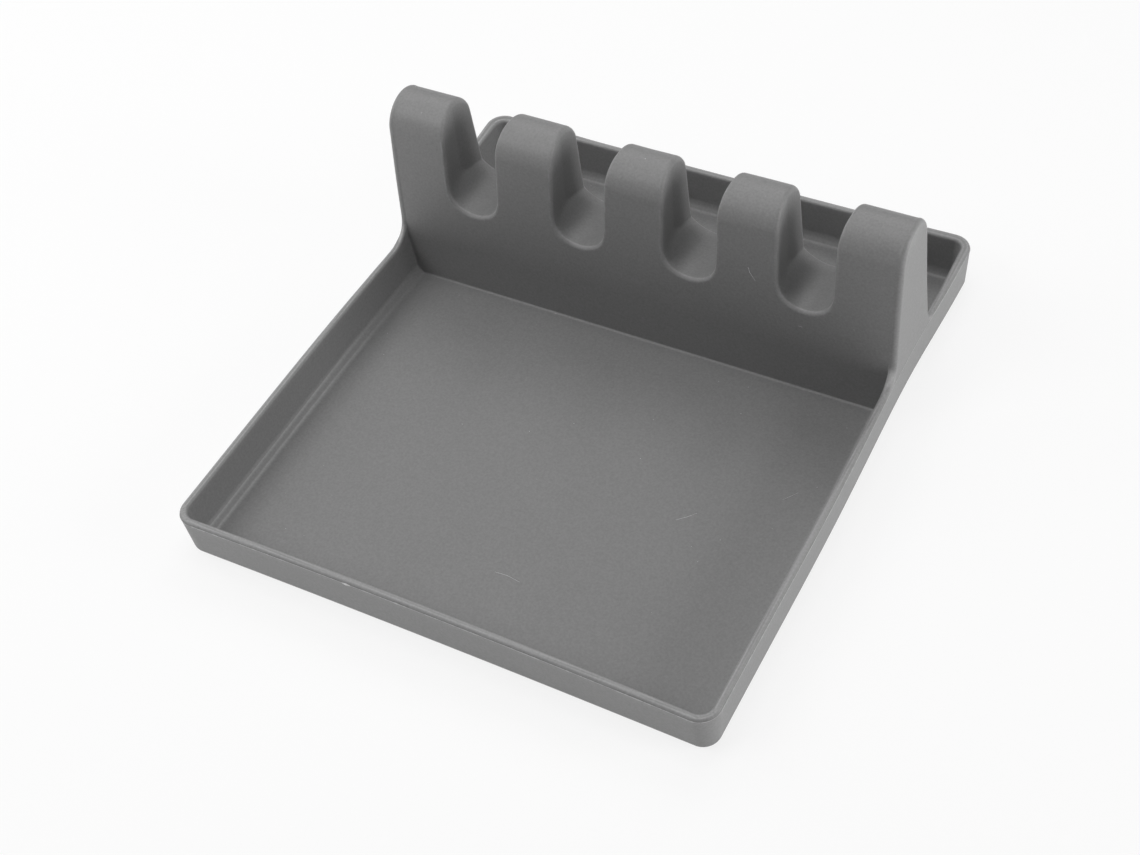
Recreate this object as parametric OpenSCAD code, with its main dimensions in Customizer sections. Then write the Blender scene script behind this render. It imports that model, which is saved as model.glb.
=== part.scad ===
// Spoon rest with four slots: a shallow drip tray and an upright rack wall,
// moulded in one soft piece of silicone.
// The origin is on the table under the middle of the tray. +X runs to the right
// along the rack, +Y to the back, and +Z up. The spoons lie along Y, with their
// bowls in the front tray and their handles in the rack's slots.

/* [Tray] */
// Width over the rim, along the rack
tray_w = 182; // [170:1:240]
// Depth over the rim, front to back
tray_d = 203; // [180:1:260]
// Height of the rim above the table
rim_h = 16.5; // [12:0.5:24]
// Radius of the rim's corners, seen from above
corner_r = 7.5; // [7:0.5:16]
// Thickness of the floor
floor_t = 2; // [1.5:0.1:3]
// Thickness of the wall at the rim
rim_t = 2.3; // [2.2:0.1:3]
// Lean of the wall's outer face, in degrees
outer_draft = 5; // [0.5:0.1:6]
// Lean of the wall's inner face, in degrees
inner_draft = 9; // [6:0.1:10]
// Radius of the edge that stands on the table
foot_r = 2; // [0.5:0.1:3]
// Height of the slanted strip where the inside of the wall meets the floor
floor_chamfer = 2.1; // [0.5:0.1:2.5]
// Radius of the rim's outer edge
rim_outer_r = 1.3; // [0.4:0.1:1.4]
// Radius of the rim's inner edge
rim_inner_r = 0.9; // [0.2:0.1:0.9]

/* [Rack] */
// From the tray's middle to the rack's front face, at the floor
rack_y = 31.9; // [10:0.1:40]
// Depth of the rack at the floor
rack_d = 30.6; // [28:0.1:40]
// Height of the rack's top above the table
rack_h = 69.5; // [62:0.5:75]
// Lean of the front face, in degrees
front_lean = 5.1; // [1:0.1:6]
// Lean of the back face, in degrees
back_lean = 6.3; // [1:0.1:7]
// Lean of the two end faces, in degrees
end_lean = 0.5; // [0:0.1:2]
// Radius of each finger's top corners, seen from the front
finger_r = 2.5; // [1:0.1:4]
// Radius of the sweep from the rim up into the rack's front face
front_sweep_r = 5.5; // [2:0.1:8]
// Radius of the sweep from the rim up into the rack's back face
back_sweep_r = 2; // [1:0.1:5]
// How far the rack's foot reaches over the floor, in front and behind
foot_reach = 7; // [5:0.5:10]

/* [Slots] */
// Width of a slot between its side walls
slot_w = 20.4; // [14:0.1:24]
// How much wider the two end fingers are than the others
end_finger_extra = 3.2; // [0:0.1:5]
// Width and depth of the bevel round the mouths of each slot
lip = 1.2; // [0.5:0.1:1.5]
// Height of the centre that each slot's round floor is struck from
slot_centre_h = 44; // [42:0.5:50]
// Radius of the slot's floor at the rack's back face
slot_back_r = 13.2; // [12.1:0.1:14]

/* [Hollow] */
// Thickness of the rack's walls round its hollow underside
shell_t = 3; // [2:0.1:4]
// Thickness of the rack's end walls at the rim
end_t = 4.4; // [4:0.1:6]
// Thickness of the hollow's flat roof under each slot
roof_t = 2.8; // [2:0.1:4]

/* [Hidden] */
$fn = 64;
// Chords in each rounded edge, and in the rack's round top
edge_steps = 6;
nose_steps = 24;
// Overrun of every cut
over = 1;
slots = 4;

// Tray outline
half_w = tray_w / 2;
half_d = tray_d / 2;
run_w = half_w - corner_r;
run_d = half_d - corner_r;

// Wall section: u runs outwards from the corner's centre, and the rim reaches u = corner_r
rim_outer_c = [corner_r - rim_outer_r, rim_h - rim_outer_r];
rim_inner_c = [corner_r - rim_t + rim_inner_r, rim_h - rim_inner_r];
outer_touch = rim_outer_c + polar(rim_outer_r, -outer_draft);
inner_touch = rim_inner_c + polar(rim_inner_r, 180 - inner_draft);
foot_c = [outer_u(foot_r) - foot_r / cos(outer_draft), foot_r];
strip_top = [inner_u(floor_t + floor_chamfer), floor_t + floor_chamfer];

// Rack section: its round top touches both leaning faces
nose_r = (rack_d - (tan(front_lean) + tan(back_lean)) * (rack_h - floor_t))
       / (1 / cos(front_lean) + 1 / cos(back_lean) - tan(front_lean) - tan(back_lean));
nose_c = [face_y(rack_h - nose_r) + nose_r / cos(front_lean), rack_h - nose_r];
foot_y1 = rack_y - foot_reach;
foot_y2 = rack_y + rack_d + foot_reach;

// Slots and fingers, from left to right: the fingers share the width that the slots leave
finger_w = (tray_w - slots * slot_w - 2 * end_finger_extra) / (slots + 1);
slot_pitch = finger_w + slot_w;
slot_r = slot_w / 2;
slot_y1 = face_y(slot_centre_h - slot_r);
slot_y2 = back_y(slot_centre_h - slot_back_r);
slot_flare = (slot_back_r - slot_r) / (slot_y2 - slot_y1);
roof_h = slot_centre_h - slot_back_r - roof_t;

// ---- Shapes that rules give ----

function polar(r, a) = r * [cos(a), sin(a)];

function arc(c, r, from, to, steps) =
    [for (i = [0 : steps]) c + polar(r, from + (to - from) * i / steps)];

// How far out the wall's two faces are at a height
function outer_u(z) = outer_touch.x - (outer_touch.y - z) * tan(outer_draft);
function inner_u(z) = inner_touch.x - (inner_touch.y - z) * tan(inner_draft);

// Where the rack's front and back faces are at a height
function face_y(z) = rack_y + (z - floor_t) * tan(front_lean);
function back_y(z) = rack_y + rack_d - (z - floor_t) * tan(back_lean);

function slot_x(i) = (i - (slots + 1) / 2) * slot_pitch;

// ---- Tray ----

// Section through the tray's wall and the floor beside it
module wall_section() {
    polygon(concat(
        [[0, 0]],
        arc(foot_c, foot_r, -90, -outer_draft, edge_steps),
        arc(rim_outer_c, rim_outer_r, -outer_draft, 90, edge_steps),
        arc(rim_inner_c, rim_inner_r, 90, 180 - inner_draft, edge_steps),
        [strip_top, strip_top - [floor_chamfer, floor_chamfer], [0, floor_t]]
    ));
}

// A straight run of wall on the right of the tray, from y1 to y2
module side_run(y1, y2) {
    translate([run_w, y2, 0])
        rotate([90, 0, 0])
            linear_extrude(y2 - y1)
                wall_section();
}

module both_sides() {
    children();
    mirror([1, 0, 0]) children();
}

// The end of a tray whose floor reaches from the end wall to y2
module tray_end(y2) {
    both_sides() {
        side_run(-run_d, y2);
        translate([run_w, -run_d, 0])
            rotate(-90)
                rotate_extrude(angle = 90)
                    wall_section();
    }
    translate([-run_w, -run_d, 0])
        rotate([90, 0, -90])
            mirror([0, 0, 1])
                linear_extrude(2 * run_w)
                    wall_section();
    translate([-run_w, -run_d, 0])
        cube([2 * run_w, y2 + run_d, floor_t]);
}

module front_tray() {
    color("dimgray")
        tray_end(foot_y1);
}

module back_tray() {
    color("dimgray")
        mirror([0, 1, 0])
            tray_end(-foot_y2);
}

// ---- Rack ----

// The rack seen from its end, with its faces moved in by inset and its foot at z0
module rack_section(inset, z0) {
    polygon(concat(
        [[face_y(z0) + inset / cos(front_lean), z0]],
        arc(nose_c, nose_r - inset, 180 - front_lean, back_lean, nose_steps),
        [[back_y(z0) - inset / cos(back_lean), z0]]
    ));
}

// Right edge of the rack seen from the front: below the rim it follows the tray's wall
function rack_edge() =
    let (end_x = half_w - (rack_h - finger_r - rim_outer_c.y) * tan(end_lean))
    concat(
        [for (p = arc(foot_c, foot_r, -90, -outer_draft, edge_steps)) [run_w + p.x, p.y]],
        [for (p = arc(rim_outer_c, rim_outer_r, -outer_draft, 0, edge_steps)) [run_w + p.x, p.y]],
        arc([end_x - finger_r, rack_h - finger_r], finger_r, 0, 90, edge_steps)
    );

// The rack seen from the front, from the table to its top
module rack_front() {
    edge = rack_edge();
    last = len(edge) - 1;
    polygon(concat(edge, [for (i = [last : -1 : 0]) [-edge[i].x, edge[i].y]]));
}

// The sweep that lifts the rim into a leaning face, in the end view
module sweep_section(r, lean, foot) {
    c = [foot + (rim_h + r - floor_t) * tan(lean) - r / cos(lean), rim_h + r];
    root = foot + rim_outer_c.y * tan(lean);
    polygon(concat(
        [[c.x, rim_outer_c.y]],
        arc(c, r, -90, -lean, edge_steps),
        [[root + r, c.y - r * sin(lean)], [root + r, rim_outer_c.y]]
    ));
}

module along_x(w) {
    rotate([90, 0, 90])
        linear_extrude(w, center = true)
            children();
}

module sweeps() {
    both_sides()
        translate([half_w - rim_t / 2 + over / 2, 0, 0])
            along_x(rim_t + over) {
                sweep_section(front_sweep_r, front_lean, rack_y);
                mirror([1, 0])
                    sweep_section(back_sweep_r, back_lean, -rack_y - rack_d);
            }
}

// The rack as a solid wall, with no slots and no hollow
module rack_blank() {
    intersection() {
        union() {
            along_x(tray_w + over)
                rack_section(0, 0);
            sweeps();
        }
        translate([0, foot_y2, 0])
            rotate([90, 0, 0])
                linear_extrude(foot_y2 - foot_y1)
                    rack_front();
    }
}

// The part of the rack between two places along it and two heights
module rack_slice(x1, x2, z1, z2) {
    intersection() {
        rack_blank();
        translate([x1, foot_y1, z1])
            cube([x2 - x1, foot_y2 - foot_y1, z2 - z1]);
    }
}

// The hollow that opens underneath, between two places along the rack
module hollow(x1, x2) {
    translate([(x1 + x2) / 2, 0, 0])
        along_x(x2 - x1)
            rack_section(shell_t, -over);
}

module rack_base() {
    color("dimgray")
        difference() {
            union() {
                rack_slice(-half_w, half_w, 0, roof_h);
                both_sides() side_run(foot_y1, foot_y2);
                translate([-run_w, foot_y1, 0])
                    cube([2 * run_w, foot_y2 - foot_y1, floor_t]);
            }
            hollow(end_t - half_w, half_w - end_t);
        }
}

// The slot's round floor: wider at the back, so that it meets the side walls in a crease there
module slot_floor() {
    translate([0, slot_y1 - over, slot_centre_h])
        rotate([-90, 0, 0])
            cylinder(h = slot_y2 - slot_y1 + 2 * over,
                     r1 = slot_r - slot_flare * over,
                     r2 = slot_back_r + slot_flare * over);
}

// The bevel round one mouth of a slot, in a frame whose Y runs square into the wall's face
module mouth_bevel(floor_r, lean) {
    rotate([-90, 0, 0])
        translate([0, 0, -over])
            cylinder(h = lip + over, r1 = floor_r + lip + over, r2 = floor_r);
    linear_extrude((rack_h - slot_centre_h) / cos(lean))
        polygon([[-slot_r - lip - over, -over], [slot_r + lip + over, -over], [slot_r, lip], [-slot_r, lip]]);
}

// Both mouths of the slot at x
module slot_mouths(x) {
    translate([x, face_y(slot_centre_h), slot_centre_h])
        rotate([-front_lean, 0, 0])
            mouth_bevel(slot_r, front_lean);
    translate([x, back_y(slot_centre_h), slot_centre_h])
        mirror([0, 1, 0])
            rotate([-back_lean, 0, 0])
                mouth_bevel(slot_back_r, back_lean);
}

// The low saddle that a handle lies in, between two fingers
module cradle(i) {
    x = slot_x(i);
    color("gray")
        difference() {
            rack_slice(x - slot_r, x + slot_r, roof_h, slot_centre_h);
            translate([x, 0, 0]) slot_floor();
            slot_mouths(x);
        }
}

// One upright finger, hollow underneath
module finger(i) {
    x1 = i == 1 ? -half_w : slot_x(i - 1) + slot_r;
    x2 = i == slots + 1 ? half_w : slot_x(i) - slot_r;
    side1 = i == 1 ? end_t : shell_t;
    side2 = i == slots + 1 ? end_t : shell_t;
    color("darkgray")
        difference() {
            intersection() {
                rack_slice(x1, x2, roof_h, rack_h);
                finger_outline(x1, x2);
            }
            hollow(x1 + side1, x2 - side2);
            if (i > 1) slot_mouths(slot_x(i - 1));
            if (i <= slots) slot_mouths(slot_x(i));
        }
}

// The finger's outline from the front, with rounded top corners
module finger_outline(x1, x2) {
    translate([0, foot_y2, 0])
        rotate([90, 0, 0])
            linear_extrude(foot_y2 - foot_y1)
                polygon(concat(
                    [[x1, 0], [x2, 0]],
                    arc([x2 - finger_r, rack_h - finger_r], finger_r, 0, 90, edge_steps),
                    arc([x1 + finger_r, rack_h - finger_r], finger_r, 90, 180, edge_steps)
                ));
}

front_tray();
back_tray();
rack_base();
cradle(1);  // cradle_1
cradle(2);  // cradle_2
cradle(3);  // cradle_3
cradle(4);  // cradle_4
finger(1);  // finger_1
finger(2);  // finger_2
finger(3);  // finger_3
finger(4);  // finger_4
finger(5);  // finger_5
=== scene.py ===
"""Spoon rest with four slots: the looks of one soft grey silicone moulding.

The moulding's form is written once, as a distance field in millimetres whose sizes come from the
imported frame. Its surface is meshed, given true normals, and cut into the members that the frame
names, so that each member replaces its own node and no seam shows.
"""
import logging
import math
from dataclasses import dataclass, field
from enum import Enum

import bmesh
import bpy
import numpy as np
from mathutils import Matrix, Vector


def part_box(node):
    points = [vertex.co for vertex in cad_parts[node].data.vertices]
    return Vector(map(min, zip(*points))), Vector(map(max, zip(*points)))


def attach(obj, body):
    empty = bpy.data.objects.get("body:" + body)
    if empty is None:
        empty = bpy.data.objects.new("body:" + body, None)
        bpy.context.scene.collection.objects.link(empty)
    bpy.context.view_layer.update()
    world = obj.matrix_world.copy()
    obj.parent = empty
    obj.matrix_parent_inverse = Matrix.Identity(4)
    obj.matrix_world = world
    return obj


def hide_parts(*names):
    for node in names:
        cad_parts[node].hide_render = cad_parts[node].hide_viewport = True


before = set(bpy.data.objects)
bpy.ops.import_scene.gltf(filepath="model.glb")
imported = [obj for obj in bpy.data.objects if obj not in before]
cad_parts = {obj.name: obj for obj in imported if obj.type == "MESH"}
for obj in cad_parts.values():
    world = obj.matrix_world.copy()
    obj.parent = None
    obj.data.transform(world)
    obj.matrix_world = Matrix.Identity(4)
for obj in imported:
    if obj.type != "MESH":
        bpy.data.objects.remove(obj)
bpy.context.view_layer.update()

MM = 0.001
EDGE_HIGHLIGHT = "edge"
FLASH_ROOM = 0.1
WELD = 1e-7
TINY = 1e-9
NOISE_ROUGHNESS = 0.55
LOG = logging.getLogger("spoon_rest")

Array = np.ndarray
Colour = tuple[float, float, float, float]
Place = tuple[float, float, float]


class Axis(Enum):
    """An axis of the frame."""

    X = 0
    Y = 1
    Z = 2


class Keep(Enum):
    """The side of a cut that a member lies on."""

    BELOW = -1
    ABOVE = 1


class Bound(Enum):
    """An end of a node's box."""

    LOW = 0
    HIGH = 1


def node_edge(node: str, axis: Axis, bound: Bound) -> float:
    """Gives where a node of the frame ends.

    Args:
        node: The node's name.
        axis: The axis to look along.
        bound: Which end of the node's box.

    Returns:
        The place of that end, in millimetres.
    """
    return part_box(node)[bound.value][axis.value] / MM


def round_and(a: Array, b: Array, r: Array | float) -> Array:
    """Keeps what is inside both shapes, with the edge between them rounded.

    Args:
        a: Distance to the first shape.
        b: Distance to the second shape.
        r: Radius of the edge.

    Returns:
        The distance to the common part.
    """
    beyond = np.hypot(np.maximum(a + r, 0.0), np.maximum(b + r, 0.0))
    return np.minimum(-r, np.maximum(a, b)) + beyond


def round_or(a: Array, b: Array, r: Array | float) -> Array:
    """Joins two shapes with a fillet of radius r in the corner between them.

    Args:
        a: Distance to the first shape.
        b: Distance to the second shape.
        r: Radius of the fillet.

    Returns:
        The distance to the joined shape.
    """
    return -round_and(-a, -b, r)


def ease(value: Array, start: float, end: float) -> Array:
    """Rises smoothly from 0 at start to 1 at end.

    Args:
        value: Where to read the curve.
        start: Where it leaves 0.
        end: Where it reaches 1.

    Returns:
        The height of the curve.
    """
    t = np.clip((value - start) / (end - start), 0.0, 1.0)
    return t * t * (3.0 - 2.0 * t)


@dataclass(frozen=True)
class Cut:
    """A flat cut, square to an axis, that bounds a member."""

    axis: Axis
    at: float
    keep: Keep

    def normal(self) -> Vector:
        """Gives the direction that points out of the kept side.

        Returns:
            A unit vector along the axis.
        """
        out = Vector((0.0, 0.0, 0.0))
        out[self.axis.value] = -float(self.keep.value)
        return out


@dataclass(frozen=True)
class Member:
    """One named member of the moulding and the cuts that bound it."""

    node: str
    cuts: tuple[Cut, ...]


@dataclass
class Tray:
    """The drip tray: floor, drafted wall and rounded rim, in millimetres and degrees."""

    half_w: float = field(default_factory=lambda: node_edge("front_tray", Axis.X, Bound.HIGH) - FLASH_ROOM)
    half_d: float = field(default_factory=lambda: node_edge("back_tray", Axis.Y, Bound.HIGH) - FLASH_ROOM)
    rim_h: float = field(default_factory=lambda: node_edge("front_tray", Axis.Z, Bound.HIGH))
    corner_r: float = 6.5
    floor_t: float = 2.0
    rim_t: float = 2.3
    outer_draft: float = 3.8
    inner_draft: float = 9.0
    foot_r: float = 2.4
    strip_h: float = 2.1
    strip_w: float = 2.4
    strip_top_r: float = 0.9
    strip_foot_r: float = 0.3
    rim_outer_r: float = 0.9
    rim_inner_r: float = 0.7
    held_at: float = 47.0
    held_left: float = 1.75
    held_right: float = 1.4
    held_front: float = 45.0
    held_back: float = 32.0
    right_front_in: float = 0.55
    front_bow: float = 1.0
    back_bow: float = 0.3
    foot_bow_share: float = 0.5
    back_left_up: float = 1.0
    back_right_up: float = 0.6
    up_from: float = 72.0
    up_to: float = 96.0
    middle_blend: float = 1.0
    right_front_from: float = 10.0

    @property
    def parting_z(self) -> float:
        """Height of the line where the two halves of the mould met."""
        return self.rim_h - self.rim_outer_r

    def raised(self, x: Array, y: Array) -> Array:
        """Measures how far the rim stands up at the two back corners, where it is also thicker.

        Args:
            x: Places across.
            y: Places along.

        Returns:
            The rise of the rim.
        """
        at_side = ease(np.abs(x), self.half_w / 2, self.half_w - self.corner_r)
        at_corner = at_side * ease(y, self.up_from, self.up_to)
        return at_corner * np.where(x < 0.0, self.back_left_up, self.back_right_up)

    def reach(self, x: Array, y: Array, z: Array) -> Array:
        """Measures how far a place lies outside the rectangle of the corners' centres.

        The rack holds the side walls in, and the end walls bow in a little between their corners,
        as soft walls do, and more so at the rim.

        Args:
            x: Places across.
            y: Places along.
            z: Heights.

        Returns:
            The distance, less than nothing inside the rectangle.
        """
        run_w = self.half_w - self.corner_r
        run_d = self.half_d - self.corner_r
        along = (y - self.held_at) / np.where(y < self.held_at, self.held_front, self.held_back)
        to_right = ease(x, -self.middle_blend, self.middle_blend)
        held = (self.held_left + (self.held_right - self.held_left) * to_right) * np.exp(-along ** 2)
        loose = self.foot_bow_share + (1.0 - self.foot_bow_share) * np.clip(z / self.rim_h, 0.0, 1.0)
        held = held + loose * self.right_front_in * to_right * ease(-y, self.right_front_from, run_d)
        arch = np.clip(1.0 - (x / run_w) ** 2, 0.0, 1.0)
        bow = np.where(y < 0.0, self.front_bow, self.back_bow) * arch * loose
        side = np.abs(x) - run_w + held
        end = np.abs(y) - run_d + bow
        corner = np.hypot(np.maximum(side, 0.0), np.maximum(end, 0.0))
        return corner + np.minimum(np.maximum(side, end), 0.0)

    def outer(self, x: Array, y: Array, z: Array, end_lean: float) -> Array:
        """Measures to the outer face, which runs on above the rim as the rack's end faces.

        Args:
            x: Places across.
            y: Places along.
            z: Heights.
            end_lean: Lean of the faces above the rim, in degrees.

        Returns:
            The distance to the face.
        """
        below = np.minimum(z - self.parting_z, 0.0) * math.tan(math.radians(self.outer_draft))
        above = np.maximum(z - self.parting_z, 0.0) * math.tan(math.radians(end_lean))
        return self.reach(x, y, z) - (self.corner_r + below - above)

    def cavity(self, x: Array, y: Array, z: Array) -> Array:
        """Measures to the hollow of the tray, open at the top.

        Args:
            x: Places across.
            y: Places along.
            z: Heights.

        Returns:
            The distance to the hollow.
        """
        lean = math.tan(math.radians(self.inner_draft))
        reach = self.reach(x, y, z)
        inner = self.corner_r - self.rim_t - self.raised(x, y) - np.maximum(self.rim_h - z, 0.0) * lean
        side = (reach - inner) * math.cos(math.radians(self.inner_draft))
        strip_z = self.floor_t + self.strip_h
        strip_top = self.corner_r - self.rim_t - (self.rim_h - strip_z) * lean
        strip = (reach - strip_top) * self.strip_h + (strip_z - z) * self.strip_w
        strip = strip / math.hypot(self.strip_h, self.strip_w)
        return round_and(round_and(side, strip, self.strip_top_r), self.floor_t - z, self.strip_foot_r)

    def members(self, front: float, back: float) -> list[Member]:
        """Lists the tray's two members.

        Args:
            front: Where the rack's foot begins.
            back: Where it ends.

        Returns:
            The members in front of the rack and behind it.
        """
        return [Member("front_tray", (Cut(Axis.Y, front, Keep.BELOW),)),
                Member("back_tray", (Cut(Axis.Y, back, Keep.ABOVE),))]


@dataclass
class Rack:
    """The slotted wall across the tray, hollow underneath, in millimetres and degrees."""

    slots: int = 4
    top: float = field(default_factory=lambda: node_edge("finger_3", Axis.Z, Bound.HIGH))
    foot_front: float = field(default_factory=lambda: node_edge("rack_base", Axis.Y, Bound.LOW))
    foot_back: float = field(default_factory=lambda: node_edge("rack_base", Axis.Y, Bound.HIGH))
    roof: float = field(default_factory=lambda: node_edge("rack_base", Axis.Z, Bound.HIGH))
    foot_z: float = 2.0
    face_reach: float = 7.0
    back_reach: float = 6.35
    front_lean: float = 5.1
    back_lean: float = 6.3
    end_lean: float = 0.5
    slot_centre_z: float = 44.0
    slot_back_r: float = 13.2
    shell_t: float = 3.0
    end_t: float = 5.6
    roof_rise: float = 0.4
    core_edge_r: float = 1.0
    mouth_r: float = 0.5
    foot_fillet: float = 0.6
    front_sweep_r: float = 8.5
    back_sweep_r: float = 5.0
    end_edge_r: float = 1.8
    lip_front_r: float = 0.95
    lip_back_r: float = 0.9
    crease_front_r: float = 3.0
    crease_back_r: float = 0.25
    crease_from_share: float = 0.1
    crease_to_share: float = 0.6
    spread_most: float = 1.2
    finger_top_r: float = 1.8
    cradle_margin: float = 2.0
    bend_from: float = 34.0
    bends: tuple[float, ...] = (0.5, 1.4, 1.3, 0.35, 0.4)
    drops: tuple[float, ...] = (0.35, 0.4, 1.0, 0.5, 0.45)

    def __post_init__(self) -> None:
        """Works out the section and the slots' places."""
        self.tan_front = math.tan(math.radians(self.front_lean))
        self.tan_back = math.tan(math.radians(self.back_lean))
        cos_front = math.cos(math.radians(self.front_lean))
        cos_back = math.cos(math.radians(self.back_lean))
        self.face = self.foot_front + self.face_reach
        self.back = self.foot_back - self.back_reach
        rise = self.top - self.foot_z
        depth = self.back - self.face - (self.tan_front + self.tan_back) * rise
        self.nose_r = depth / (1 / cos_front + 1 / cos_back - self.tan_front - self.tan_back)
        self.nose_z = self.top - self.nose_r
        self.nose_y = self.face + (self.nose_z - self.foot_z) * self.tan_front + self.nose_r / cos_front
        walls = [(node_edge(f"cradle_{i}", Axis.X, Bound.LOW), node_edge(f"cradle_{i}", Axis.X, Bound.HIGH))
                 for i in range(1, self.slots + 1)]
        self.slot_x = [(low + high) / 2 for low, high in walls]
        self.slot_r = (walls[0][1] - walls[0][0]) / 2
        names = [f"finger_{i}" for i in range(1, self.slots + 2)]
        self.cores = [(node_edge(name, Axis.X, Bound.LOW), node_edge(name, Axis.X, Bound.HIGH))
                      for name in names]

    def unbent(self, x: Array, z: Array) -> tuple[Array, Array]:
        """Undoes the slight sideways bend and droop of each soft finger.

        Args:
            x: Places across.
            z: Heights.

        Returns:
            Where these places lie on the straight rack.
        """
        middles = [(low + high) / 2 for low, high in self.cores]
        lift = ease(z, self.bend_from, self.top)
        return x - np.interp(x, middles, self.bends) * lift, z + np.interp(x, middles, self.drops) * lift

    def section(self, y: Array, z: Array, inset: float = 0.0) -> Array:
        """Measures to the wall seen from its end: two leaning faces under one full round.

        Args:
            y: Places along.
            z: Heights.
            inset: How far to draw the faces in.

        Returns:
            The distance to the section.
        """
        front = math.radians(self.front_lean)
        back = math.radians(self.back_lean)
        dy, dz = y - self.nose_y, z - self.nose_z
        face = -dy * math.cos(front) + dz * math.sin(front) - self.nose_r
        rear = dy * math.cos(back) + dz * math.sin(back) - self.nose_r
        crown = np.hypot(dy, dz) - self.nose_r
        above_face = dz * math.cos(front) + dy * math.sin(front) > 0.0
        above_rear = dz * math.cos(back) - dy * math.sin(back) > 0.0
        flat = np.maximum(face, rear)
        return np.where(above_face & above_rear, crown, flat) + inset

    def slot(self, x: Array, y: Array, z: Array) -> Array:
        """Measures to the nearest slot, whose round floor widens towards the back.

        Args:
            x: Places across.
            y: Places along.
            z: Heights.

        Returns:
            The distance to the slot.
        """
        aside = np.minimum.reduce([np.abs(x - centre) for centre in self.slot_x])
        front = self.face + (self.slot_centre_z - self.slot_r - self.foot_z) * self.tan_front
        back = self.back - (self.slot_centre_z - self.slot_back_r - self.foot_z) * self.tan_back
        spread = np.clip((y - front) / (back - front), 0.0, self.spread_most)
        floor_r = self.slot_r + (self.slot_back_r - self.slot_r) * spread ** 2
        floor = np.hypot(aside, np.minimum(z - self.slot_centre_z, 0.0)) - floor_r
        in_front = 1.0 - ease(spread, self.crease_from_share, self.crease_to_share)
        crease_r = self.crease_back_r + (self.crease_front_r - self.crease_back_r) * in_front
        return round_and(aside - self.slot_r, floor, crease_r)

    def hollow(self, x: Array, y: Array, z: Array, half_w: float) -> Array:
        """Measures to the hollow under the wall, with a core in each finger.

        Args:
            x: Places across.
            y: Places along.
            z: Heights.
            half_w: Half the tray's width.

        Returns:
            The distance to the hollow.
        """
        roof = z - self.roof - self.roof_rise
        cores = [np.abs(x - (low + high) / 2) - (high - low) / 2 + self.shell_t for low, high in self.cores]
        upper = np.minimum(roof, np.minimum.reduce(cores))
        ends = np.abs(x) - half_w + self.end_t
        inside = round_and(self.section(y, z, self.shell_t), ends, self.core_edge_r)
        return round_and(inside, upper, self.core_edge_r)

    def lip(self, y: Array, z: Array) -> Array:
        """Gives the radius of the slots' edges, larger in front and at the fingers' tops.

        Args:
            y: Places along.
            z: Heights.

        Returns:
            The radius at each place.
        """
        at_back = ease(y, self.nose_y - self.nose_r, self.nose_y + self.nose_r)
        edge = self.lip_front_r + (self.lip_back_r - self.lip_front_r) * at_back
        at_top = ease(z, self.nose_z, self.top - self.finger_top_r)
        return edge + (self.finger_top_r - edge) * at_top

    def crest(self, y: Array, z: Array, rim_h: float) -> Array:
        """Measures to what lies below the rim's top, which sweeps up into the wall's two faces.

        Args:
            y: Places along.
            z: Heights.
            rim_h: Height of the rim.

        Returns:
            The distance.
        """
        sweep_r = np.where(y < self.nose_y, self.front_sweep_r, self.back_sweep_r)
        return round_or(z - rim_h, self.section(y, z), sweep_r)

    def members(self) -> list[Member]:
        """Lists the rack's members: its base, then cradles and fingers in turn.

        Returns:
            The members.
        """
        base_top = Cut(Axis.Z, self.roof, Keep.BELOW)
        foot = (Cut(Axis.Y, self.foot_front, Keep.ABOVE), Cut(Axis.Y, self.foot_back, Keep.BELOW))
        made = [Member("rack_base", (*foot, base_top))]
        upper = Cut(Axis.Z, self.roof, Keep.ABOVE)
        reach = self.slot_r - self.cradle_margin
        for i, centre in enumerate(self.slot_x, 1):
            sides = (Cut(Axis.X, centre - reach, Keep.ABOVE), Cut(Axis.X, centre + reach, Keep.BELOW))
            made.append(Member(f"cradle_{i}", (upper, *sides)))
        for i in range(1, self.slots + 2):
            cuts = [upper]
            if i > 1:
                cuts.append(Cut(Axis.X, self.slot_x[i - 2] + reach, Keep.ABOVE))
            if i <= self.slots:
                cuts.append(Cut(Axis.X, self.slot_x[i - 1] - reach, Keep.BELOW))
            made.append(Member(f"finger_{i}", tuple(cuts)))
        return made


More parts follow.
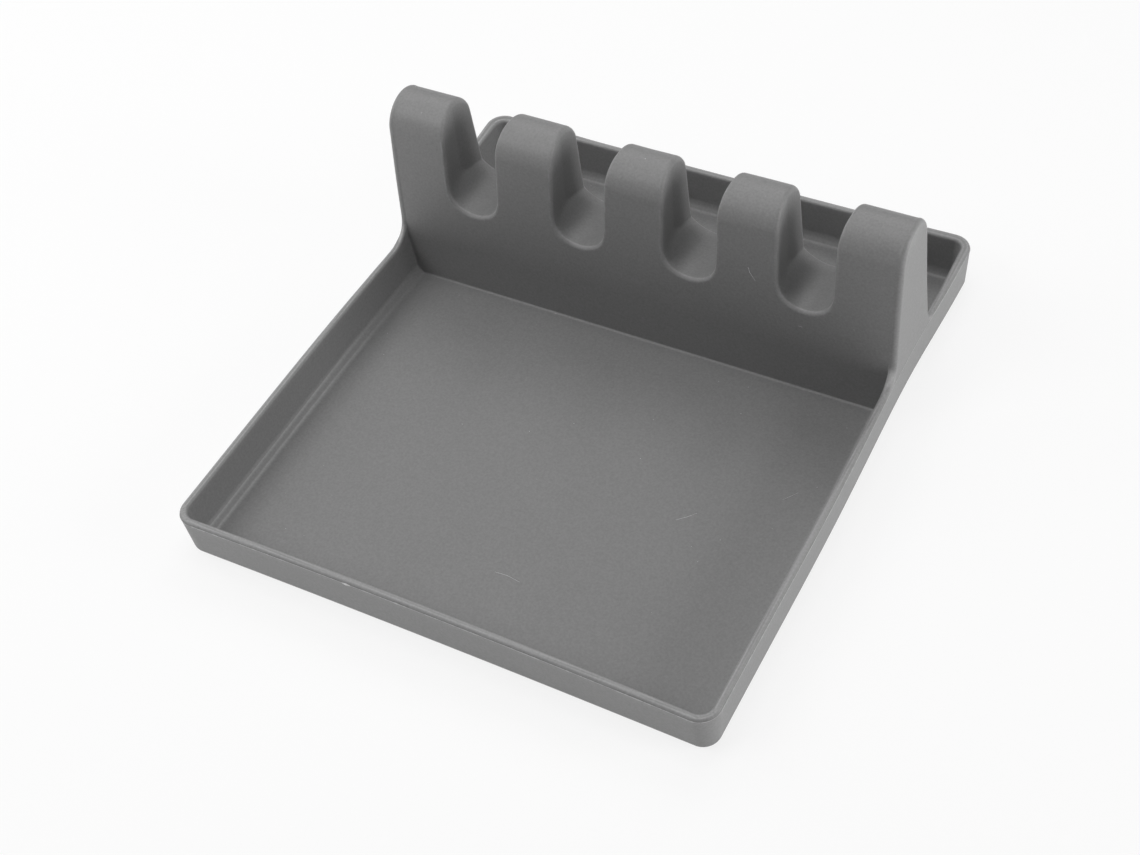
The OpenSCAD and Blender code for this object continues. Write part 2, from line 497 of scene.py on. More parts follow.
@dataclass
class Moulding:
    """The whole moulding, as the tray and the rack joined."""

    tray: Tray
    rack: Rack
    step: float = 0.002
    settle_rounds: int = 5
    least_slope: float = 0.05
    end_edge_rise: float = 2.0
    # These edge settings shape the painted highlight on convex edges, strongest where they face up.
    edge_depth: float = 1.3
    edge_share: float = 0.5
    edge_from: float = 6.0
    edge_upright: float = 0.3

    def distance(self, x: Array, y: Array, z: Array) -> Array:
        """Measures to the moulding's surface.

        Args:
            x: Places across.
            y: Places along.
            z: Heights.

        Returns:
            The distance, less than nothing inside the silicone.
        """
        tray, rack = self.tray, self.rack
        x, z = rack.unbent(x, z - tray.raised(x, y) * np.clip(z / tray.rim_h, 0.0, 1.0))
        shell = round_and(rack.crest(y, z, tray.rim_h), -tray.cavity(x, y, z), tray.rim_inner_r)
        joined = round_or(shell, rack.section(y, z), rack.foot_fillet)
        outer = tray.outer(x, y, z, rack.end_lean)
        above = ease(z, tray.rim_h, tray.rim_h + self.end_edge_rise)
        edge_r = tray.rim_outer_r + (rack.end_edge_r - tray.rim_outer_r) * above
        body = round_and(joined, outer, edge_r)
        body = round_and(body, -z, tray.foot_r)
        body = round_and(body, -rack.slot(x, y, z), rack.lip(y, z))
        return round_and(body, -rack.hollow(x, y, z, tray.half_w), rack.mouth_r)

    def slope(self, points: Array) -> Array:
        """Measures how the distance changes at points near the surface.

        Args:
            points: An n by 3 array of places.

        Returns:
            The gradient at each place.
        """
        gradient = np.empty_like(points)
        for axis in range(3):
            ahead, behind = points.copy(), points.copy()
            ahead[:, axis] += self.step
            behind[:, axis] -= self.step
            gradient[:, axis] = self.distance(*ahead.T) - self.distance(*behind.T)
        return gradient / (2 * self.step)

    def normals(self, points: Array) -> Array:
        """Gives the surface's outward normals.

        Args:
            points: An n by 3 array of places on the surface.

        Returns:
            A unit vector for each place.
        """
        gradient = self.slope(points)
        return gradient / np.maximum(np.linalg.norm(gradient, axis=1, keepdims=True), TINY)

    def edges(self, points: Array, normals: Array) -> Array:
        """Finds the convex edges above the floor, where little silicone lies behind the surface, for the
        painted highlight that lightens them.

        Args:
            points: An n by 3 array of places on the surface.
            normals: The surface's normals there.

        Returns:
            0 on flats and in hollows, up to 1 on thin edges that face up, and less on upright ones: how much
            painted highlight each place gets.
        """
        behind = self.distance(*(points - normals * self.edge_depth).T)
        thin = np.clip((behind + self.edge_depth) / (self.edge_depth * self.edge_share), 0.0, 1.0)
        lit = self.edge_upright + (1.0 - self.edge_upright) * np.clip(normals[:, 2], 0.0, 1.0)
        return thin * lit * ease(points[:, 2], self.edge_from, 2.0 * self.edge_from)

    def settle(self, points: Array, reach: float) -> Array:
        """Moves points onto the surface.

        Args:
            points: An n by 3 array of places near it.
            reach: The furthest that a point may move in a round.

        Returns:
            The moved points.
        """
        for _ in range(self.settle_rounds):
            gradient = self.slope(points)
            square = np.maximum((gradient ** 2).sum(1), self.least_slope)
            move = np.clip(self.distance(*points.T) / square, -reach, reach)
            points = points - move[:, None] * gradient
        return points


@dataclass
class Grid:
    """Grid lines that lie close together where the form turns and far apart on the flats."""

    fine: float = 0.45
    coarse: float = 2.2
    near: float = 2.4
    fade: float = 9.0
    margin: float = 1.5

    def lines(self, low: float, high: float, turns: list[float], coarse: float | None = None) -> Array:
        """Lays the grid lines along one axis.

        Args:
            low: Where the form begins.
            high: Where it ends.
            turns: Where it turns.
            coarse: The widest spacing, if it isn't the grid's own.

        Returns:
            The places of the lines.
        """
        widest = coarse or self.coarse
        places = [low - self.margin]
        while places[-1] < high + self.margin:
            gap = min(abs(places[-1] - turn) for turn in turns)
            share = min(max((gap - self.near) / self.fade, 0.0), 1.0)
            places.append(places[-1] + self.fine + (widest - self.fine) * share)
        return np.array(places)

    def mirrored(self, high: float, turns: list[float], coarse: float | None = None) -> Array:
        """Lays lines that are alike on both sides of the middle.

        Args:
            high: Where the form ends on one side.
            turns: Where it turns on that side.
            coarse: The widest spacing, if it isn't the grid's own.

        Returns:
            The places of the lines.
        """
        half = self.lines(self.margin, high, turns, coarse)
        return np.concatenate((-half[::-1], half))


@dataclass
class Skin:
    """A mesh of the moulding's surface, one vertex in each grid cell that the surface crosses."""

    moulding: Moulding
    grid: Grid = field(default_factory=Grid)
    widest_x: float = 1.5
    widest_z: float = 1.3
    inside: float = 2.0
    face_room: float = 5.0
    nose_room: float = 4.0
    foot_room: float = 0.3
    floor_room: float = 1.0
    top_room: float = 2.0

    def build(self) -> tuple[Array, Array]:
        """Meshes the surface.

        Returns:
            The vertices in millimetres and the quads' vertex numbers.
        """
        tray, rack = self.moulding.tray, self.moulding.rack
        walls = [abs(c) + side * rack.slot_r for c in rack.slot_x if c > 0 for side in (-1, 1)]
        inner_x = tray.half_w - tray.rim_t - self.inside
        inner_y = tray.half_d - tray.rim_t - self.inside
        at_rack = [rack.face, rack.face + self.face_room, rack.nose_y - self.nose_room,
                   rack.nose_y + self.nose_room, rack.back - self.face_room, rack.back]
        at_heights = [self.foot_room, tray.floor_t + self.floor_room, tray.parting_z, rack.roof,
                      rack.slot_centre_z - rack.slot_r, rack.top - self.top_room]
        xs = self.grid.mirrored(tray.half_w, [*walls, inner_x, tray.half_w], self.widest_x)
        ys = self.grid.lines(-tray.half_d, tray.half_d,
                             [-tray.half_d, -inner_y, *at_rack, inner_y, tray.half_d])
        zs = self.grid.lines(0.0, rack.top, at_heights, self.widest_z)
        level = self.moulding.distance(xs[:, None, None], ys[None, :, None], zs[None, None, :])
        lines = (xs, ys, zs)
        shape = np.array(level.shape)
        cells, places, quads = [], [], []
        for axis in range(3):
            found, where, corners = self.crossings(level, lines, shape, axis)
            cells.append(found)
            places.append(where)
            quads.append(corners)
        ids, member = np.unique(np.concatenate(cells), return_inverse=True)
        spots = np.concatenate(places)
        count = np.bincount(member, minlength=len(ids))
        middle = np.stack([np.bincount(member, spots[:, k], len(ids)) for k in range(3)], 1) / count[:, None]
        faces = np.searchsorted(ids, np.concatenate(quads))
        return self.moulding.settle(middle, self.grid.fine), faces

    def crossings(self, level: Array, lines: tuple[Array, ...], shape: Array,
                  axis: int) -> tuple[Array, Array, Array]:
        """Finds where the surface crosses the grid's edges along one axis.

        Args:
            level: The distance at each grid point.
            lines: The grid lines of the three axes.
            shape: How many grid points there are each way.
            axis: The axis.

        Returns:
            The cells round each crossing, the crossing once for each of those cells, and the quads.
        """
        second, third = (axis + 1) % 3, (axis + 2) % 3
        moved = np.moveaxis(level, (axis, second, third), (0, 1, 2))
        low, high = moved[:-1], moved[1:]
        change = (low < 0.0) != (high < 0.0)
        change[:, 0, :] = change[:, -1, :] = False
        change[:, :, 0] = change[:, :, -1] = False
        i, j, k = np.nonzero(change)
        start, end = low[i, j, k], high[i, j, k]
        spot = np.empty((len(i), 3))
        spot[:, axis] = lines[axis][i] + (lines[axis][i + 1] - lines[axis][i]) * start / (start - end)
        spot[:, second] = lines[second][j]
        spot[:, third] = lines[third][k]
        strides = np.array([shape[1] * shape[2], shape[2], 1])
        corners = [i * strides[axis] + (j - dj) * strides[second] + (k - dk) * strides[third]
                   for dj, dk in ((1, 1), (0, 1), (0, 0), (1, 0))]
        quad = np.stack(corners, 1)
        inward = start > 0.0
        quad[inward] = quad[inward][:, ::-1]
        return np.concatenate(corners), np.tile(spot, (4, 1)), quad


@dataclass
class Cutter:
    """Cuts the skin into members, closes the cuts and gives every face its true normals."""

    moulding: Moulding
    points: Array
    quads: Array

    def piece(self, member: Member) -> bpy.types.Object:
        """Makes one member's closed mesh.

        Args:
            member: The member.

        Returns:
            The new object, at the origin, with its place in its mesh.
        """
        chosen = np.ones(len(self.quads), bool)
        for cut in member.cuts:
            along = self.points[:, cut.axis.value][self.quads] - cut.at
            chosen &= (along * cut.keep.value).max(1) > 0.0
        used, faces = np.unique(self.quads[chosen], return_inverse=True)
        mesh = bpy.data.meshes.new(member.node)
        self.fill(mesh, self.points[used] * MM, faces.reshape(-1, 4))
        work = bmesh.new()
        work.from_mesh(mesh)
        for cut in member.cuts:
            self.cut(work, cut)
        work.to_mesh(mesh)
        work.free()
        self.dress_normals(mesh)
        piece = bpy.data.objects.new(f"{member.node}_skin", mesh)
        bpy.context.scene.collection.objects.link(piece)
        return piece

    @staticmethod
    def fill(mesh: bpy.types.Mesh, points: Array, faces: Array) -> None:
        """Writes vertices and quads into an empty mesh.

        Args:
            mesh: The mesh.
            points: Its vertices, in metres.
            faces: Its quads.
        """
        mesh.vertices.add(len(points))
        mesh.vertices.foreach_set("co", points.ravel())
        mesh.loops.add(faces.size)
        mesh.loops.foreach_set("vertex_index", faces.ravel().astype(np.int32))
        mesh.polygons.add(len(faces))
        mesh.polygons.foreach_set("loop_start", np.arange(0, faces.size, 4, dtype=np.int32))
        mesh.polygons.foreach_set("use_smooth", np.ones(len(faces), bool))
        mesh.update(calc_edges=True)

    @staticmethod
    def cut(work: bmesh.types.BMesh, cut: Cut) -> None:
        """Cuts the mesh flat and closes it with flat faces.

        Args:
            work: The mesh being cut.
            cut: The cut.
        """
        out = cut.normal()
        place = -out * (cut.at * MM) * float(cut.keep.value)
        made = bmesh.ops.bisect_plane(work, geom=[*work.verts, *work.edges, *work.faces], dist=WELD,
                                      plane_co=place, plane_no=out, clear_outer=True)
        rim = [e for e in made["geom_cut"] if isinstance(e, bmesh.types.BMEdge) and e.is_boundary]
        filled = bmesh.ops.triangle_fill(work, use_beauty=True, use_dissolve=False, normal=out, edges=rim)
        for face in (f for f in filled["geom"] if isinstance(f, bmesh.types.BMFace)):
            face.normal_update()
            if face.normal.dot(out) < 0.0:
                face.normal_flip()
            face.smooth = False

    def dress_normals(self, mesh: bpy.types.Mesh) -> None:
        """Sets the moulding's true normals, flat ones where a member was cut, and the attribute that carries
        the painted edge highlight.

        Args:
            mesh: The member's mesh.
        """
        points = np.empty(len(mesh.vertices) * 3)
        mesh.vertices.foreach_get("co", points)
        places = points.reshape(-1, 3) / MM
        smooth_at = self.moulding.normals(places)
        # This attribute carries the painted highlight on convex edges that face up.
        edge = mesh.attributes.new(EDGE_HIGHLIGHT, "FLOAT", "POINT")
        edge.data.foreach_set("value", self.moulding.edges(places, smooth_at))
        corner_vertex = np.empty(len(mesh.loops), np.int32)
        mesh.loops.foreach_get("vertex_index", corner_vertex)
        sizes = np.empty(len(mesh.polygons), np.int32)
        mesh.polygons.foreach_get("loop_total", sizes)
        smooth = np.empty(len(mesh.polygons), bool)
        mesh.polygons.foreach_get("use_smooth", smooth)
        flat = np.empty(len(mesh.polygons) * 3)
        mesh.polygons.foreach_get("normal", flat)
        of_face = np.repeat(np.arange(len(sizes)), sizes)
        corner = np.where(smooth[of_face][:, None], smooth_at[corner_vertex], flat.reshape(-1, 3)[of_face])
        mesh.normals_split_custom_set(corner.tolist())


class Nodes:
    """Builds a node tree in a few words."""

    def __init__(self, tree: bpy.types.NodeTree) -> None:
        """Starts on an empty tree.

        Args:
            tree: The tree to fill.
        """
        self.tree = tree
        self.tree.nodes.clear()

    def add(self, kind: str, inputs: dict[str | int, object] | None = None,
            **settings: object) -> bpy.types.Node:
        """Adds a node, sets it up and links what feeds it.

        Args:
            kind: The node's type name.
            inputs: Values, or the sockets that feed them, by the input's name or number.
            settings: The node's own settings.

        Returns:
            The node.
        """
        node = self.tree.nodes.new(kind)
        for name, value in settings.items():
            setattr(node, name, value)
        for key, value in (inputs or {}).items():
            socket = node.inputs[key]
            if isinstance(value, bpy.types.NodeSocket):
                self.tree.links.new(value, socket)
            else:
                socket.default_value = value
        return node

    def math(self, operation: str, *values: object, clamp: bool = False) -> bpy.types.NodeSocket:
        """Adds one sum.

        Args:
            operation: The sum's name.
            values: Its terms, as numbers or sockets.
            clamp: Whether to hold the result between 0 and 1.

        Returns:
            The result's socket.
        """
        node = self.add("ShaderNodeMath", dict(enumerate(values)), operation=operation, use_clamp=clamp)
        return node.outputs[0]

    def sweep(self, curve: bpy.types.NodeSocket, profile: bpy.types.NodeSocket,
              caps: bool) -> bpy.types.NodeSocket:
        """Sweeps a profile along a curve, as wide as the curve's own radius.

        Args:
            curve: The curve.
            profile: The profile, with a radius of 1.
            caps: Whether to close the ends.

        Returns:
            The mesh's socket.
        """
        node = self.add("GeometryNodeCurveToMesh", {"Curve": curve, "Profile Curve": profile,
                                                    "Fill Caps": caps})
        if "Scale" in node.inputs:
            self.tree.links.new(self.add("GeometryNodeInputRadius").outputs[0], node.inputs["Scale"])
        return node.outputs[0]

    def hand_over(self, geometry: bpy.types.NodeSocket, finish: bpy.types.NodeSocket) -> None:
        """Ends a geometry tree: makes its instances real and gives them their finish.

        Args:
            geometry: What the tree made.
            finish: The material.
        """
        real = self.add("GeometryNodeRealizeInstances", {"Geometry": geometry})
        dressed = self.add("GeometryNodeSetMaterial", {"Geometry": real.outputs[0], "Material": finish})
        self.add("NodeGroupOutput", {0: dressed.outputs[0]})


def grey(tone: float) -> Colour:
    """Gives a grey as a colour.

    Args:
        tone: Its linear value.

    Returns:
        The colour.
    """
    return (tone, tone, tone, 1.0)


@dataclass(frozen=True)
class Silicone:
    """Dark grey silicone: fine matt grain, faint cloudiness, painted shade in a groove at the parting line,
    and painted highlights on the floor's creases, the edges and the fingers' tops.
    """

    name: str = "dark_silicone"
    tone: float = 0.178
    cloud_share: float = 0.045
    grain_share: float = 0.2
    roughness: float = 0.5
    grain_size: float = 0.75
    cloud_size: float = 38.0
    cloud_detail: float = 3.0
    fine_detail: float = 2.0
    rough_share: float = 0.08
    grain_depth: float = 0.045
    peel_depth: float = 0.035
    peel_size: float = 2.6
    ior: float = 1.42
    line_half: float = 0.2
    line_rise: float = 0.26
    line_wander: float = 0.12
    wander_size: float = 9.0
    # Painted shade of the groove at the parting line.
    groove_shade: float = 0.35
    # Painted highlight lines along the floor's creases and the rack's foot.
    crease_half: float = 0.36
    crease_highlight: float = 0.42
    crease_fade: float = 30.0
    crease_room: float = 2.0
    left_from_share: float = 0.95
    left_to_share: float = 0.6
    upper_share: float = 0.95
    # Painted highlight: how much lighter the convex edges are painted.
    painted_edge_highlight: float = 1.1
    # Painted light: how much lighter the fingers' tops are painted.
    painted_top_light_share: float = 0.16

    def material(self, tray: Tray, rack: Rack) -> bpy.types.Material:
        """Makes the material.

        Args:
            tray: The tray, for the places of its lines.
            rack: The rack, for the place of its foot.

        Returns:
            The material.
        """
        material = bpy.data.materials.new(self.name)
        material.use_nodes = True
        nodes = Nodes(material.node_tree)
        place = nodes.add("ShaderNodeTexCoord").outputs["Object"]
        cloud = self.noise(nodes, place, self.cloud_size, self.cloud_detail)
        grain = self.noise(nodes, place, self.grain_size, self.fine_detail)
        peel = self.noise(nodes, place, self.peel_size, self.fine_detail)
        shade = nodes.math("ADD", 1.0, nodes.math("ADD", self.centred(nodes, cloud, self.cloud_share),
                                                  self.centred(nodes, grain, self.grain_share)))
        # Painted highlights along the floor's creases, less the painted shade of the groove at the parting
        # line.
        lines = nodes.math("SUBTRACT", self.floor_highlight_lines(nodes, place, tray, rack),
                           self.parting_groove_shade(nodes, place, tray))
        # Painted highlight: the base colour is lightened on convex edges, the more the higher they face.
        edge = nodes.add("ShaderNodeAttribute", attribute_name=EDGE_HIGHLIGHT).outputs["Fac"]
        lines = nodes.math("MULTIPLY_ADD", edge, self.painted_edge_highlight, lines)
        # Painted light: the colour grows lighter towards the fingers' crowns.
        height = nodes.add("ShaderNodeSeparateXYZ", {0: place}).outputs[2]
        painted_top_light = nodes.add("ShaderNodeMapRange", {"Value": height, "From Min": rack.nose_z * MM,
                                                 "From Max": rack.top * MM}, interpolation_type="SMOOTHSTEP")
        lines = nodes.math("MULTIPLY_ADD", painted_top_light.outputs[0], self.painted_top_light_share, lines)
        tone = nodes.math("MULTIPLY", nodes.math("MULTIPLY", shade, nodes.math("ADD", 1.0, lines)), self.tone)
        colour = nodes.add("ShaderNodeCombineColor", {0: tone, 1: tone, 2: tone})
        rough = nodes.math("ADD", self.roughness, self.centred(nodes, cloud, self.rough_share))
        height = nodes.math("ADD", nodes.math("MULTIPLY", grain, self.grain_depth * MM),
                            nodes.math("MULTIPLY", peel, self.peel_depth * MM))
        bump = nodes.add("ShaderNodeBump", {"Height": height, "Strength": 1.0, "Distance": 1.0})
        shader = nodes.add("ShaderNodeBsdfPrincipled", {
            "Base Color": colour.outputs[0], "Roughness": rough, "Normal": bump.outputs[0],
            "IOR": self.ior})
        nodes.add("ShaderNodeOutputMaterial", {"Surface": shader.outputs[0]})
        return material

    @staticmethod
    def noise(nodes: Nodes, place: bpy.types.NodeSocket, size: float, detail: float) -> bpy.types.NodeSocket:
        """Adds a noise whose features have a real size.

        Args:
            nodes: The tree.
            place: The coordinates.
            size: The features' size, in millimetres.
            detail: How many finer layers it holds.

        Returns:
            The noise's value.
        """
        node = nodes.add("ShaderNodeTexNoise", {"Vector": place, "Scale": 1.0 / (size * MM), "Detail": detail,
                                                "Roughness": NOISE_ROUGHNESS})
        return node.outputs[0]

    @staticmethod
    def centred(nodes: Nodes, value: bpy.types.NodeSocket, share: float) -> bpy.types.NodeSocket:
        """Turns a value from 0 to 1 into one from minus share to plus share.

        Args:
            nodes: The tree.
            value: The value.
            share: The most that it may stray.

        Returns:
            The new value.
        """
        return nodes.math("MULTIPLY_ADD", value, 2.0 * share, -share)

    @staticmethod
    def band(nodes: Nodes, value: bpy.types.NodeSocket, at: float, half: float) -> bpy.types.NodeSocket:
        """Adds a soft band round one value.

        Args:
            nodes: The tree.
            value: What the band is read from, in metres.
            at: The band's middle, in millimetres.
            half: Half its width, in millimetres.

        Returns:
            1 in the middle of the band, and 0 outside it.
        """
        off = nodes.math("ABSOLUTE", nodes.math("SUBTRACT", value, at * MM))
        return nodes.math("SUBTRACT", 1.0, nodes.math("DIVIDE", off, half * MM), clamp=True)

    def parting_groove_shade(self, nodes: Nodes, place: bpy.types.NodeSocket, tray: Tray) -> bpy.types.NodeSocket:
        """Paints the shade of a thin groove just above the line where the mould's halves met.

        Args:
            nodes: The tree.
            place: The coordinates.
            tray: The tray.

        Returns:
            How dark each place is, from 0 to 1.
        """
        x, y, z = nodes.add("ShaderNodeSeparateXYZ", {0: place}).outputs
        wander = self.noise(nodes, place, self.wander_size, self.fine_detail)
        wander = self.centred(nodes, wander, self.line_wander * MM)
        line = self.band(nodes, nodes.math("ADD", z, wander), tray.parting_z + self.line_rise, self.line_half)
        beside = nodes.math("GREATER_THAN", nodes.math("ABSOLUTE", x), (tray.half_w - tray.rim_t) * MM)
        ahead = nodes.math("GREATER_THAN", nodes.math("ABSOLUTE", y), (tray.half_d - tray.rim_t) * MM)
        # Painted shade: only on the outer walls, in a thin band above the parting line.
        return nodes.math("MULTIPLY", nodes.math("MULTIPLY", line, nodes.math("MAXIMUM", beside, ahead)),
                          self.groove_shade)

    def floor_highlight_lines(self, nodes: Nodes, place: bpy.types.NodeSocket, tray: Tray,
                    rack: Rack) -> bpy.types.NodeSocket:
        """Adds painted highlight lines along the edges of the slanted strip round the floor.

        The lower one also follows the rack's foot, and fades out towards its left end.

        Args:
            nodes: The tree.
            place: The coordinates.
            tray: The tray.
            rack: The rack.

        Returns:
            How much painted highlight lightens each place, as a share.
        """
        x, y, z = nodes.add("ShaderNodeSeparateXYZ", {0: place}).outputs
        lower = self.band(nodes, z, tray.floor_t + self.crease_half, self.crease_half)
        upper = self.band(nodes, z, tray.floor_t + tray.strip_h, 2.0 * self.crease_half)
        away = nodes.add("ShaderNodeMapRange", {"Value": y, "From Min": (rack.face - self.crease_room) * MM,
                                                "From Max": -self.crease_fade * MM}).outputs[0]
        left_end = -tray.half_w * MM
        left = nodes.add("ShaderNodeMapRange", {"Value": x, "From Min": self.left_from_share * left_end,
                                                "From Max": self.left_to_share * left_end}).outputs[0]
        faded = nodes.math("MULTIPLY", lower, nodes.math("MAXIMUM", away, left))
        both = nodes.math("MULTIPLY_ADD", nodes.math("MULTIPLY", upper, away), self.upper_share, faded)
        narrow = nodes.math("LESS_THAN", nodes.math("ABSOLUTE", x), (tray.half_w - 2.0 * tray.rim_t) * MM)
        short = nodes.math("LESS_THAN", nodes.math("ABSOLUTE", y), (tray.half_d - 2.0 * tray.rim_t) * MM)
        inside = nodes.math("MULTIPLY", narrow, short)
        return nodes.math("MULTIPLY", nodes.math("MULTIPLY", both, inside), self.crease_highlight)


@dataclass(frozen=True)
class Paint:
    """A plain finish for the flash, the lint and the marks: one tone with a little variation; the flash's
    light tone is a painted highlight.
    """

    name: str
    tone: float
    roughness: float = 0.6
    spread_share: float = 0.15
    size: float = 1.5
    detail: float = 2.0

    def material(self) -> bpy.types.Material:
        """Makes the material.

        Returns:
            The material.
        """
        material = bpy.data.materials.new(self.name)
        material.use_nodes = True
        nodes = Nodes(material.node_tree)
        place = nodes.add("ShaderNodeTexCoord").outputs["Object"]
        value = Silicone.noise(nodes, place, self.size, self.detail)
        shade = nodes.math("ADD", 1.0, Silicone.centred(nodes, value, self.spread_share))
        tone = nodes.math("MULTIPLY", shade, self.tone)
        colour = nodes.add("ShaderNodeCombineColor", {0: tone, 1: tone, 2: tone})
        shader = nodes.add("ShaderNodeBsdfPrincipled", {"Base Color": colour.outputs[0],
                                                        "Roughness": self.roughness})
        nodes.add("ShaderNodeOutputMaterial", {"Surface": shader.outputs[0]})
        return material


def interface_inputs(tree: bpy.types.NodeTree, kinds: dict[str, str]) -> dict[str, str]:
    """Adds named inputs to a geometry tree.

    Args:
        tree: The tree.
        kinds: Each input's socket type by its name.

    Returns:
        The identifier of each input by its name.
    """
    made = {}
    tree.interface.new_socket("Geometry", in_out="INPUT", socket_type="NodeSocketGeometry")
    tree.interface.new_socket("Geometry", in_out="OUTPUT", socket_type="NodeSocketGeometry")
    for name, kind in kinds.items():
        made[name] = tree.interface.new_socket(name, in_out="INPUT", socket_type=kind).identifier
    return made


def grown(name: str, base: bpy.types.Mesh, tree: bpy.types.NodeTree,
          inputs: dict[str, object]) -> bpy.types.Object:
    """Runs a geometry tree on a mesh and keeps the result as a plain object.

    Args:
        name: The new object's name.
        base: The mesh that the tree starts from.
        tree: The tree.
        inputs: Values by socket identifier.

    Returns:
        The new object, at the origin.
    """
    carrier = bpy.data.objects.new(name, base)
    bpy.context.scene.collection.objects.link(carrier)
    modifier = carrier.modifiers.new("grow", "NODES")
    modifier.node_group = tree
    for identifier, value in inputs.items():
        modifier[identifier] = value
    carrier.update_tag()
    graph = bpy.context.evaluated_depsgraph_get()
    mesh = bpy.data.meshes.new_from_object(carrier.evaluated_get(graph))
    carrier.modifiers.clear()
    bpy.data.objects.remove(carrier)
    piece = bpy.data.objects.new(name, mesh)
    bpy.context.scene.collection.objects.link(piece)
    return piece


@dataclass
class Flash:
    """The thin ragged fin of silicone along the mould's parting line, in millimetres."""

    moulding: Moulding
    spacing: float = 0.35
    proud: float = 0.3
    thin: float = 0.35
    fray: float = 2.4
    fray_detail: float = 4.0
    fray_roughness: float = 0.7
    torn_from: float = 0.46
    torn_to: float = 0.64
    least_share: float = 0.25
    sides: int = 6
    corner_points: int = 12
    rounds: int = 4
    least_slope: float = 0.1
    seed: float = 3.7
    # The fin is the same silicone; its tone, twice the body's, is a painted highlight.
    finish: Paint = Paint("flash_silicone", 0.36, 0.5)

    def path(self) -> Array:
        """Walks round the moulding just below the rim.

        Returns:
            Points on the outer face at the parting line.
        """
        tray = self.moulding.tray
        run_w, run_d = tray.half_w - tray.corner_r, tray.half_d - tray.corner_r
        turn = np.linspace(0.0, math.pi / 2, self.corner_points)
        points: list[tuple[float, float]] = []
        for number, (sx, sy) in enumerate(((1, 1), (-1, 1), (-1, -1), (1, -1))):
            bend = turn + number * math.pi / 2
            points += [(sx * run_w + tray.corner_r * math.cos(a), sy * run_d + tray.corner_r * math.sin(a))
                       for a in bend]
        flat = np.array(points)
        closed = np.vstack((flat, flat[:1]))
        length = np.concatenate(([0.0], np.cumsum(np.linalg.norm(np.diff(closed, axis=0), axis=1))))
        steps = np.linspace(0.0, length[-1], int(length[-1] / self.spacing), endpoint=False)
        xy = np.stack([np.interp(steps, length, closed[:, k]) for k in range(2)], 1)
        walk = np.column_stack((xy, tray.parting_z + tray.raised(*xy.T)))
        for _ in range(self.rounds):
            gradient = self.moulding.slope(walk)
            flat_slope = gradient[:, :2]
            square = np.maximum((flat_slope ** 2).sum(1), self.least_slope)
            walk[:, :2] -= (self.moulding.distance(*walk.T) / square)[:, None] * flat_slope
        return walk

    def tree(self) -> tuple[bpy.types.NodeTree, dict[str, str]]:
        """Builds the tree that grows the fin along the path.

        Returns:
            The tree and its inputs' identifiers.
        """
        tree = bpy.data.node_groups.new("flash_fin", "GeometryNodeTree")
        inputs = interface_inputs(tree, {"Proud": "NodeSocketFloat", "Thin": "NodeSocketFloat",
                                         "Fray": "NodeSocketFloat", "Seed": "NodeSocketFloat",
                                         "Finish": "NodeSocketMaterial"})
        nodes = Nodes(tree)
        given = nodes.add("NodeGroupInput").outputs
        line = nodes.add("GeometryNodeMeshToCurve", {"Mesh": given["Geometry"]})
        upright = nodes.add("GeometryNodeSetCurveNormal", {"Curve": line.outputs[0]}, mode="Z_UP")
        place = nodes.add("GeometryNodeInputPosition")
        ragged = nodes.add("ShaderNodeTexNoise", {"Vector": place.outputs[0], "W": given["Seed"],
                                                  "Scale": nodes.math("DIVIDE", 1.0, given["Fray"]),
                                                  "Detail": self.fray_detail,
                                                  "Roughness": self.fray_roughness}, noise_dimensions="4D")
        torn = nodes.add("ShaderNodeMapRange", {"Value": ragged.outputs[0], "From Min": self.torn_from,
                                                "From Max": self.torn_to, "To Min": self.least_share,
                                                "To Max": 1.0})
        width = nodes.math("MULTIPLY", torn.outputs[0], given["Proud"])
        wide = nodes.add("GeometryNodeSetCurveRadius", {"Curve": upright.outputs[0], "Radius": width})
        ring = nodes.add("GeometryNodeCurvePrimitiveCircle", {"Resolution": self.sides, "Radius": 1.0})
        flatten = nodes.add("ShaderNodeCombineXYZ", {"X": given["Thin"], "Y": 1.0, "Z": 1.0})
        blade = nodes.add("GeometryNodeTransform", {"Geometry": ring.outputs[0], "Scale": flatten.outputs[0]})
        nodes.hand_over(nodes.sweep(wide.outputs[0], blade.outputs[0], False), given["Finish"])
        return tree, inputs

    def build(self) -> bpy.types.Object:
        """Makes the fin.

        Returns:
            The new object.
        """
        walk = self.path() * MM
        base = bpy.data.meshes.new("flash_path")
        ends = [(i, (i + 1) % len(walk)) for i in range(len(walk))]
        base.from_pydata(walk.tolist(), ends, [])
        tree, names = self.tree()
        material = self.finish.material()
        return grown("flash_line", base, tree, {
            names["Proud"]: self.proud * MM, names["Thin"]: self.thin, names["Fray"]: self.fray * MM,
            names["Seed"]: self.seed, names["Finish"]: material})


